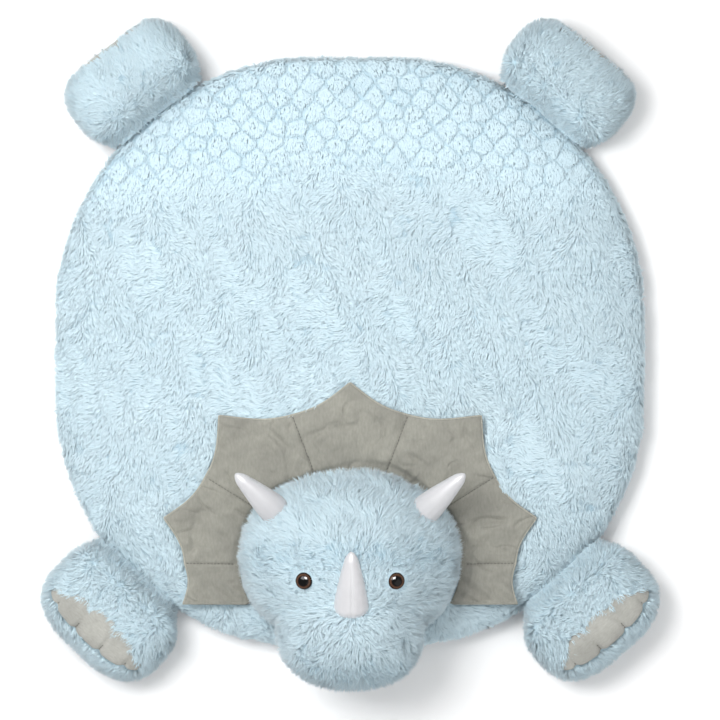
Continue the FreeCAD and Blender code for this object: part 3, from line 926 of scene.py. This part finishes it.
def on_panel(places, reach, kind):
    """Whether places on a paw's skin lie under its toe panel or sole."""
    angles = toe_angles if kind == "toe" else sole_angles
    upper, lower = angles(places[:, 1])
    turn = np.degrees(np.arctan2(places[:, 2] - PIVOT_HEIGHT, places[:, 0] - reach + PIVOT_BACK))
    wide_enough = np.abs(places[:, 1]) < PANEL_HALF[kind] - 1 * MM
    return (turn < upper - 1) & (turn > lower + 1) & wide_enough


def paw_weight(reach, kind):
    """Where a paw has pile: everywhere but its hinge, its toe panel and its sole."""

    def weight(places, facing):
        shown = smooth(-7 * MM, -1 * MM, places[:, 0]) * smooth(-0.97, -0.7, facing[:, 2])
        return shown * np.where(on_panel(places, reach, kind), 0, 1) + 1e-6

    return weight


def paw_style(offset):
    """Tousled pile that runs out to the toes, a little shorter at the hinge, with painted shade in its
    creases and toward the hinge.
    """

    def style(roots, outward):
        line = creases(roots, 22 * MM, offset + 6)
        root = smooth(24 * MM, 4 * MM, roots[:, 0])
        turn = 0.9 * waves(roots, 48 * MM, offset) + 0.8 * waves(roots, 16 * MM, offset + 3)
        comb = np.column_stack([np.cos(turn), np.sin(turn), -0.3 * np.ones(len(roots))])
        comb[:, 0] *= 1 - 1.5 * root
        side = smooth(0.75, 0.3, outward[:, 2])
        low = smooth(16 * MM, 6 * MM, roots[:, 2])
        return {
            "comb": comb,
            "lift": 0.55 + 0.1 * root + 0.35 * side,
            "ruffle": 0.22,
            "length": 11.5 * MM * (1 - 0.1 * root) * (1 - 0.4 * low),
            "sink": line * 2.4 * MM,
            "tousle": np.full(len(roots), 0.42),
            # Tone: painted shade in the creases and toward the hinge, where the paw meets the mat.
            "tone": 0.58 - 0.45 * line - 0.2 * root,
        }

    return style


MAT_STRANDS = 210000
HEAD_STRANDS = 65000
PAW_STRANDS = 27000

mat_pile = grow(
    "mat_pile",
    mat_skin,
    MAT_STRANDS,
    mat_weight,
    mat_style,
    60,
    width=0.62 * MM,
    group=9,
)
head_pile = grow(
    "head_pile",
    head_skin,
    HEAD_STRANDS,
    head_weight,
    head_style,
    70,
    width=0.52 * MM,
    clear=lambda points: above_frill(above_mat(points, 1.5 * MM), 1.5 * MM),
)
paw_piles = {}
for index, (paw_name, paw_reach, _, _) in enumerate(PAWS):
    paw_piles[paw_name] = grow(
        paw_name + "_pile",
        paw_skins[paw_name],
        PAW_STRANDS,
        paw_weight(paw_reach, "toe" if "paw" in paw_name else "sole"),
        paw_style(100 + index * 20),
        90 + index * 20,
        width=0.54 * MM,
    )


# ---- frill


FRILL_CLEAR = 3.4 * MM      # from the mat's crown to the middle of the frill at its lowest lie
DEGREES_IN_RADIAN = 57.3
ASLANT = np.array([0.123, 0.456, 0.881])      # a direction that no tube runs along


def closed_shell(name, top, low, rows, columns):
    """A thin closed piece from a grid of top points and a grid of points under them."""
    faces = []
    for face in grid_faces(rows, columns):
        faces.append(face)
        faces.append(tuple(rows * columns + i for i in reversed(face)))
    rim = list(range(columns))
    rim += [row * columns + columns - 1 for row in range(1, rows)]
    rim += [(rows - 1) * columns + column for column in range(columns - 2, -1, -1)]
    rim += [row * columns for row in range(rows - 2, 0, -1)]
    shift = rows * columns
    for here, after in zip(rim, rim[1:] + rim[:1]):
        faces.append((after, here, shift + here, shift + after))
    return mesh_object(name, np.concatenate([top, low]), faces)


def frill_surface(angle, share):
    """Points in the middle of the frill's thickness, and how far it is from the inner edge."""
    turn = np.radians(angle)
    inner = frill_inner(angle) - 5 * MM
    outer = frill_reach(angle)
    distance = inner + (outer - inner) * share
    x, y = FRILL_MIDDLE[0] + distance * np.sin(turn), FRILL_MIDDLE[1] + distance * np.cos(turn)
    points = np.column_stack([x, y, np.zeros(len(x))])
    points[:, 2] = crown_height(points)
    return points, distance - inner, outer - inner


def frill_relief(angle, share, points, from_inner):
    """How far the frill stands above its lowest lie: folds, wrinkles, full quilting and lifted tips."""
    stitch = np.min([np.abs(angle - sign * valley) for valley, _ in VALLEYS for sign in (-1, 1)], axis=0)
    from_middle = np.hypot(points[:, 0] - FRILL_MIDDLE[0], points[:, 1] - FRILL_MIDDLE[1])
    beside = stitch / DEGREES_IN_RADIAN * from_middle
    full = 1.6 * (1 - np.exp(-beside / (9 * MM))) * np.sin(math.pi * np.clip(share, 0, 1)) ** 0.5
    fold_at = (15 + 5 * np.sin(np.radians(angle) * 2.3 + 0.9) + 3 * np.sin(np.radians(angle) * 5.1)) * MM
    folded = 0.15 + np.exp(-((np.abs(angle - 3) - 42) / 24) ** 2)
    past_fold = from_inner - fold_at
    step = smooth(-3.0 * MM, 2.0 * MM, past_fold) * smooth(60 * MM, 5 * MM, past_fold) * folded
    flat = points * np.array([1.0, 1.0, 0])
    wrinkles = 2.8 * waves(flat, 46 * MM, 81)
    wrinkles += 1.1 * waves(flat, 18 * MM, 83)
    wrinkles += 1.5 * waves(np.column_stack([angle * 2.2, share * 22, angle * 0]) * MM, 18 * MM, 82)
    wrinkles -= 3.6 * creases(points, 75 * MM, 84, 0.16) + 2.0 * creases(points, 34 * MM, 86, 0.18)
    wrinkles = wrinkles * smooth(0, 14 * MM, from_inner)
    tips = [sign * at for at, _ in TIPS for sign in (-1, 1)]
    tip = np.max([np.exp(-((angle - at) / 9.0) ** 2) for at in tips], axis=0)
    lift = 3.5 * smooth(0.6, 1.0, share) * tip
    ends = smooth(88, 103, np.abs(angle)) * 1.2 * np.sin(points[:, 0] * 260 + points[:, 1] * 330)
    return (full + 5.5 * step + np.maximum(wrinkles, -2.6) + lift + ends + 2.6) * MM, beside


def make_frill():
    """The quilted frill: a thin lobed sheet that lies on the mat around the head."""
    angle = np.linspace(-FRILL_LAST, FRILL_LAST, 640)
    marks = [sign * at for at, _ in TIPS + VALLEYS for sign in (-1, 1)]
    for mark in marks:
        angle[np.argmin(np.abs(angle - mark))] = mark
    share = 1 - (1 - np.linspace(0, 1, 50)) ** 1.15
    rows, columns = len(share), len(angle)
    all_angle, all_share = np.tile(angle, rows), np.repeat(share, columns)
    points, from_inner, whole = frill_surface(all_angle, all_share)
    relief, beside = frill_relief(all_angle, all_share, points, from_inner)
    border = np.minimum(whole - from_inner, (FRILL_LAST - np.abs(all_angle)) * 2.1 * MM)
    half = 1.9 * MM * np.sqrt(np.clip(1 - (1 - np.clip(border / (2.4 * MM), 0, 1)) ** 2, 0.05, 1))
    groove = 1.5 * MM * np.exp(-(beside / (1.3 * MM)) ** 2) * smooth(3 * MM, 8 * MM, from_inner)
    middle = points[:, 2] + FRILL_CLEAR + relief
    top, low = points.copy(), points.copy()
    top[:, 2] = middle + half - groove
    low[:, 2] = np.maximum(middle - half, points[:, 2] + 1.2 * MM)
    frill = closed_shell("frill", top, low, rows, columns)
    return dress(frill, frill_minky)


def tube(points, radius, sides=8):
    """Vertices and faces of a closed round tube along points, narrowed at both ends."""
    points = np.asarray(points, float)
    heading = unit(np.gradient(points, axis=0))
    side = unit(np.cross(heading, ASLANT))
    up = np.cross(side, heading)
    around = np.linspace(0, 2 * math.pi, sides, endpoint=False)
    size = np.full(len(points), radius)
    size[[0, -1]] *= 0.35
    rings = [
        p + r * (np.cos(around)[:, None] * s + np.sin(around)[:, None] * u)
        for p, r, s, u in zip(points, size, side, up)
    ]
    faces = [tuple(reversed(face)) for face in grid_faces(len(points), sides, wrap=True)]
    faces.append(tuple(range(sides)))
    last = (len(points) - 1) * sides
    faces.append(tuple(reversed(range(last, last + sides))))
    return np.concatenate(rings), faces


def stitched(name, lines, stitch, gap, radius, material):
    """Rows of separate stitches along lines of points, as one piece."""
    vertices, faces, count = [], [], 0
    for line in lines:
        steps = np.concatenate([[0], np.cumsum(np.linalg.norm(np.diff(line, axis=0), axis=1))])
        start = gap
        while start + stitch < steps[-1]:
            along = np.linspace(start, start + stitch, 5)
            places = np.stack([np.interp(along, steps, line[:, axis]) for axis in range(3)], axis=1)
            places[:, 2] += np.array([-0.6, 0.1, 0.35, 0.1, -0.6]) * radius * 2
            more, skin = tube(places, radius, 6)
            vertices.append(more)
            faces += [tuple(count + i for i in face) for face in skin]
            count += len(more)
            start += stitch + gap
    return dress(mesh_object(name, np.concatenate(vertices), faces), material)


def frill_line(angles, shares, rise):
    """Points along the frill's top at matching angles and shares."""
    points, from_inner, _ = frill_surface(angles, shares)
    relief, _ = frill_relief(angles, shares, points, from_inner)
    points[:, 2] += FRILL_CLEAR + relief + rise
    return points


frill = make_frill()
quilt_lines = []
QUILT_SHARES = np.linspace(0.10, 0.985, 40)
for valley, _ in VALLEYS:
    for sign in (-1, 1):
        quilt_angles = np.full(len(QUILT_SHARES), sign * valley)
        quilt_lines.append(frill_line(quilt_angles, QUILT_SHARES, 0.75 * MM))
frill_thread = stitched("frill_quilting_thread", quilt_lines, 3.0 * MM, 0.9 * MM, 0.42 * MM, quilt_thread)
last_tip = TIPS[-1][0]
edge_angles = np.linspace(-last_tip, last_tip, 500)
edge_points = frill_line(edge_angles, np.ones(len(edge_angles)), 0.2 * MM)
frill_edge = dress(mesh_object("frill_edge", *tube(edge_points, 1.15 * MM)), edge_highlight_minky)


# ---- horns


def horn_matrix(place, aim):
    """Turns a horn's own frame, +Z along it and +Y toward its rear side, into the model's."""
    along = Vector(aim).normalized()
    side = along.cross(Vector((0, 0, 1))).normalized()
    back = side.cross(along)
    turn = Matrix((side, -back, along)).transposed().to_4x4()
    return Matrix.Translation(Vector(place)) @ turn


def make_horn(name, base, length, tip, bend, place, aim, seam_turn=0.0):
    """A stuffed round-tipped cone with two seams, gathered a little at its foot and slightly bent."""
    rows, around = 90, 120
    share = 1 - (1 - np.linspace(0, 1, rows)) ** 1.6
    turn = np.linspace(0, 2 * math.pi, around, endpoint=False)
    s, a = np.repeat(share, around), np.tile(turn, rows)
    cone = base + (tip - base) * s + 2.2 * MM * np.sin(math.pi * np.clip(s, 0, 1) ** 0.9)
    cap = np.sqrt(np.clip(1 - np.clip((s - 0.86) / 0.14, 0, 1) ** 2, 0, 1))
    seam = np.exp(-(np.sin(a - seam_turn) / 0.055) ** 2)
    foot = np.sqrt(np.clip(1 - (1 - np.clip(s / 0.15, 0, 1)) ** 2, 0.02, 1))
    gather = 0.010 * np.sin(13 * a) * (1 - s) ** 3
    radius = cone * cap * (1 - 0.045 * seam * (1 - s ** 6) + gather)
    radius = radius * (1 + 0.012 * np.sin(2 * a + 7 * s)) * (0.35 + 0.65 * foot)
    x, y = radius * np.cos(a), radius * np.sin(a) + bend * s * (1 - s) * 4
    points = np.column_stack([x, y, s * length])
    faces = grid_faces(rows, around, wrap=True) + [tuple(reversed(range(around)))]
    horn = mesh_object(name, points, faces)
    horn.matrix_world = horn_matrix(place, aim)
    return dress(horn, horn_satin)


def cranium_point(across, along):
    """The point of the cranium's top above a place in plan."""
    x, y = across / CRANIUM_HALF[0], (along - CRANIUM_CENTRE[1]) / CRANIUM_HALF[1]
    return Vector((across, along, CRANIUM_CENTRE[2] + CRANIUM_HALF[2] * math.sqrt(1 - x * x - y * y)))


def direction(turn, rise):
    """A unit vector turned from +X toward +Y and raised, both in degrees."""
    turn, rise = math.radians(turn), math.radians(rise)
    return Vector((math.cos(rise) * math.cos(turn), math.cos(rise) * math.sin(turn), math.sin(rise)))


SEAT = 14 * MM           # how far a horn's foot is sunk behind its place on the head
BROW_ACROSS = 84 * MM
BROW_ALONG = -176 * MM
NOSE_PLACE = Vector((1.5 * MM, -279 * MM, 167 * MM))
horns = {}
for side, sign in (("left", -1), ("right", 1)):
    aim = direction(43, 27)
    aim.x *= sign
    foot = cranium_point(sign * BROW_ACROSS, BROW_ALONG) - aim * SEAT
    horns[side + "_brow_horn"] = make_horn(
        side + "_brow_horn_visual", 18 * MM, 80 * MM, 5 * MM, -2.5 * MM, foot, aim)
aim = direction(90, 22)
foot = NOSE_PLACE - aim * SEAT
horns["nose_horn"] = make_horn(
    "nose_horn_visual", 20.5 * MM, 76 * MM, 5 * MM, 1.0 * MM, foot, aim, seam_turn=math.pi / 2)


# ---- eyes


def eye_material():
    """Glossy brown glass eye: a dark pupil, a fibrous brown iris and a dark ring at its edge."""
    made = Nodes("eye_glass", roughness=0.05)
    made.shader.inputs["Specular IOR Level"].default_value = 0.22
    place = made.place()
    parts = made.add("ShaderNodeSeparateXYZ")
    made.link(place, parts.inputs["Vector"])
    flat = made.add("ShaderNodeCombineXYZ")
    made.link(parts.outputs["X"], flat.inputs["X"])
    made.link(parts.outputs["Y"], flat.inputs["Y"])
    length = made.add("ShaderNodeVectorMath", operation="LENGTH")
    made.link(flat.outputs["Vector"], length.inputs[0])
    scaled = made.add("ShaderNodeMath", operation="MULTIPLY")
    made.link(length.outputs["Value"], scaled.inputs[0])
    scaled.inputs[1].default_value = 1 / (9 * MM)
    black, brown, rust = (0.001, 0.001, 0.001), (0.06, 0.028, 0.016), (0.125, 0.062, 0.036)
    stops = [(0.0, black), (0.60, black), (0.68, brown), (0.82, rust), (0.92, brown), (0.98, black)]
    rings = made.ramp(scaled.outputs["Value"], stops)
    fibres = made.ramp(made.noise(700, detail=3), [(0.3, (0.6, 0.6, 0.6)), (0.7, (1, 1, 1))])
    made.colour(made.multiply(rings, fibres))
    return made.material


def make_eye(side):
    """A domed eye with a thin rim, set on the face."""
    place, aim = EYES[side]
    rows, around = 22, 64
    share = np.linspace(0, 1, rows)
    radius = 9.4 * MM * np.cos(share * math.pi / 2) ** 0.9
    height = 5 * MM * np.sin(share * math.pi / 2)
    profile = [(6.5 * MM, -3 * MM), (8.8 * MM, -2.2 * MM), (9.6 * MM, -0.6 * MM)]
    profile += [(r, h) for r, h in zip(radius, height)][:-1]
    turn = np.linspace(0, 2 * math.pi, around, endpoint=False)
    rings = [
        np.column_stack([r * np.cos(turn), r * np.sin(turn), np.full(around, h)])
        for r, h in profile
    ]
    points = np.concatenate(rings + [np.array([[0, 0, 5 * MM]])])
    faces = grid_faces(len(profile), around, wrap=True) + [tuple(reversed(range(around)))]
    last, top = (len(profile) - 1) * around, len(points) - 1
    faces += [(last + i, last + (i + 1) % around, top) for i in range(around)]
    eye = mesh_object(side + "_eye_glass", points, faces)
    facing = aim.to_track_quat("Z", "Y").to_matrix().to_4x4()
    eye.matrix_world = Matrix.Translation(place + aim * 0.5 * MM) @ facing
    return dress(eye, eye_glass)


eye_glass = eye_material()
eyes = {side: make_eye(side) for side in ("left", "right")}


# ---- toe panels and soles


PANEL_ROWS = 41
PANEL_COLUMNS = 131
THREAD_ROW = 26          # where the toe stitching starts, counted from the panel's upper edge


def panel_point(tree, reach, across, degrees):
    """Where a ray from a paw's inner line, at an angle above level, meets its skin, with the way out."""
    turn = math.radians(degrees)
    heading = Vector((math.cos(turn), 0, math.sin(turn)))
    start = Vector((reach - PIVOT_BACK, across, PIVOT_HEIGHT))
    place, normal, _, _ = tree.ray_cast(start, heading)
    if place is None:
        place, normal = start + heading * 28 * MM, heading
    if normal.dot(heading) < 0:
        normal = -normal
    return np.array(place), np.array((normal + heading).normalized())


def toe_pinch(across, share):
    """How far the toe panel is drawn in between its toes, deeper toward the outer edge."""
    return between_toes(across, 2.4 * MM) * (0.05 + 0.95 * share ** 1.5)


def make_panel(name, skin, reach, kind, material):
    """A soft taupe panel on a paw's end: a band drawn in between the toes, or a foot's oval sole."""
    tree = BVHTree.FromPolygons(
        [v.co.copy() for v in skin.data.vertices],
        [tuple(p.vertices) for p in skin.data.polygons])
    angles = toe_angles if kind == "toe" else sole_angles
    half = PANEL_HALF[kind]
    thick = 5.0 * MM if kind == "toe" else 3.4 * MM
    across = np.linspace(-half, half, PANEL_COLUMNS) * 0.998
    top, low = [], []
    for share in np.linspace(0, 1, PANEL_ROWS):
        for t in across:
            upper, lower = angles(t)
            place, out = panel_point(tree, reach, t, upper + (lower - upper) * share)
            edge = max(abs(2 * share - 1), abs(t) / half)
            full = math.sqrt(max(0.0, 1 - edge ** 7))
            rise = thick * (0.25 + 0.75 * full)
            if kind == "toe":
                rise -= 3.6 * MM * float(toe_pinch(t, share)) * full
            top.append(place + out * rise)
            low.append(place - out * 1.5 * MM)
    panel = closed_shell(name, np.array(top), np.array(low), PANEL_ROWS, PANEL_COLUMNS)
    made = panel.modifiers.new("soft", "SMOOTH")
    made.factor = 0.5
    made.iterations = 4
    settle_modifiers(panel)
    return dress(panel, material)


def toe_thread(name, panel, material):
    """Short rows of stitches drawn tight between the toes, on the lower part of the panel."""
    points = points_of(panel)
    grid = points[: PANEL_ROWS * PANEL_COLUMNS].reshape(PANEL_ROWS, PANEL_COLUMNS, 3)
    lines = []
    for line in [sign * place for place in TOE_LINES for sign in (-1, 1)]:
        column = int(round((line / PANEL_HALF["toe"] + 1) / 2 * (PANEL_COLUMNS - 1)))
        lines.append(grid[THREAD_ROW:PANEL_ROWS - 1, column] + np.array([0.3, 0, 0.3]) * MM)
    return stitched(name, lines, 2.6 * MM, 0.8 * MM, 0.45 * MM, material)


panels, toe_threads = {}, {}
for paw_name, paw_reach, _, _ in PAWS:
    front = "paw" in paw_name
    panels[paw_name] = make_panel(
        paw_name + ("_toes" if front else "_sole_pad"),
        paw_skins[paw_name], paw_reach, "toe" if front else "sole", sole_minky)
    if front:
        toe_threads[paw_name] = toe_thread(paw_name + "_toe_thread", panels[paw_name], quilt_thread)


# ---- bodies and hidden CAD parts


def attach(item, body, slot, *nodes):
    """Rides an item on a body and hides the CAD nodes it stands for; slot is not used."""
    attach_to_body(item, body)
    if nodes:
        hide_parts(*nodes)
    return item


underneath = [polygon.index for polygon in mat_skin.data.polygons if polygon.center.z < MAT_SEAM * 0.7]
mat_skin.data.materials.append(underside_cloth)
for number in underneath:
    mat_skin.data.polygons[number].material_index = 1
attach(mat_skin, "mat", "blue_plush", "mat_top_panel", "mat_underside_panel", "mat_stuffing")
for piece in mat_pile:
    attach(piece, "mat", "blue_plush")

attach(head_skin, "head", "blue_plush",
       "head_face_cover", "muzzle_cover", "head_back_panel", "head_stuffing")
for piece in head_pile:
    attach(piece, "head", "blue_plush")
for side, eye in eyes.items():
    attach(eye, "head", "eye_plastic", side + "_eye")
for name, horn in horns.items():
    attach(horn, "head", "horn_satin", name + "_cover", name + "_stuffing")

attach(frill, "frill", "frill_minky", "frill_back_panel", "frill_batting", "frill_front_panel")
attach(frill_thread, "frill", "thread", "frill_quilting")
attach(frill_edge, "frill", "frill_minky")

for paw_name, _, paw_yaw, paw_corner in PAWS:
    here = paw_frame(paw_yaw, paw_corner)
    front = "paw" in paw_name
    for piece in [paw_skins[paw_name], panels[paw_name], *paw_piles[paw_name]]:
        piece.matrix_world = here
    cover = ["_cover", "_stuffing"]
    for piece in [paw_skins[paw_name], *paw_piles[paw_name]]:
        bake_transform(piece)
    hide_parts(*[paw_name + end for end in cover])
    attach(panels[paw_name], paw_name, "sole_minky", paw_name + ("_toe_panel" if front else "_sole"))
    if front:
        toe_threads[paw_name].matrix_world = here
        attach(toe_threads[paw_name], paw_name, "thread", paw_name + "_toe_stitches")


# ---- washers


def plastic_material():
    """Moulded grey plastic with a fine grain."""
    made = Nodes("washer_moulding", roughness=0.45)
    made.colour(made.ramp(made.noise(600), [(0.3, (0.30, 0.31, 0.32)), (0.7, (0.36, 0.37, 0.38))]))
    made.bump(made.noise(900, detail=2), 0.1 * MM, 0.3)
    return made.material


washer_moulding = plastic_material()
for side in ("left", "right"):
    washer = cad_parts[side + "_eye_washer"]
    washer.data.materials.clear()
    washer.data.materials.append(washer_moulding)


# ---- floor, light and camera


def floor_material():
    """Plain pale studio floor with the faintest mottling."""
    made = Nodes("floor_paint", roughness=0.9)
    made.colour(made.ramp(made.noise(6), [(0.2, (0.93, 0.93, 0.935)), (0.8, (0.95, 0.95, 0.95))]))
    return made.material


ground = mesh_object("floor", [(-6, -6, 0), (6, -6, 0), (6, 6, 0), (-6, 6, 0)], [(0, 1, 2, 3)], False)
dress(ground, floor_material())


def area_light(name, place, target, size, power):
    """A soft white square light that looks at a target."""
    lamp = bpy.data.lights.new(name, "AREA")
    lamp.size = size
    lamp.energy = power
    item = bpy.data.objects.new(name, lamp)
    item.location = place
    item.rotation_euler = (Vector(target) - Vector(place)).to_track_quat("-Z", "Y").to_euler()
    scene.collection.objects.link(item)
    return item


area_light("key", (-1.15, 0.6, 2.9), (0, 0, 0), 1.4, 74)
# The catch light reaches only what shines: it puts the glints in the eyes and on the horns.
catch = area_light("catch", (0, 0.35, 2.2), (0, -0.25, 0), 0.8, 130)
catch.visible_diffuse = False
area_light("fill", (1.6, -1.4, 2.6), (0, 0, 0), 2.4, 16)

world = bpy.data.worlds.new("studio")
world.use_nodes = True
world.node_tree.nodes["Background"].inputs["Color"].default_value = (1, 1, 1, 1)
world.node_tree.nodes["Background"].inputs["Strength"].default_value = 0.62
scene.world = world
scene.view_settings.view_transform = "Standard"

# A far camera with a long lens, so that raised parts look no larger than those on the floor.
camera_data = bpy.data.cameras.new("camera")
camera_data.lens = 444.4
camera_data.sensor_width = 36
camera = bpy.data.objects.new("camera", camera_data)
camera.location = (0.011, -0.0096, 10.0)
camera_data.clip_end = 100
scene.collection.objects.link(camera)
scene.camera = camera
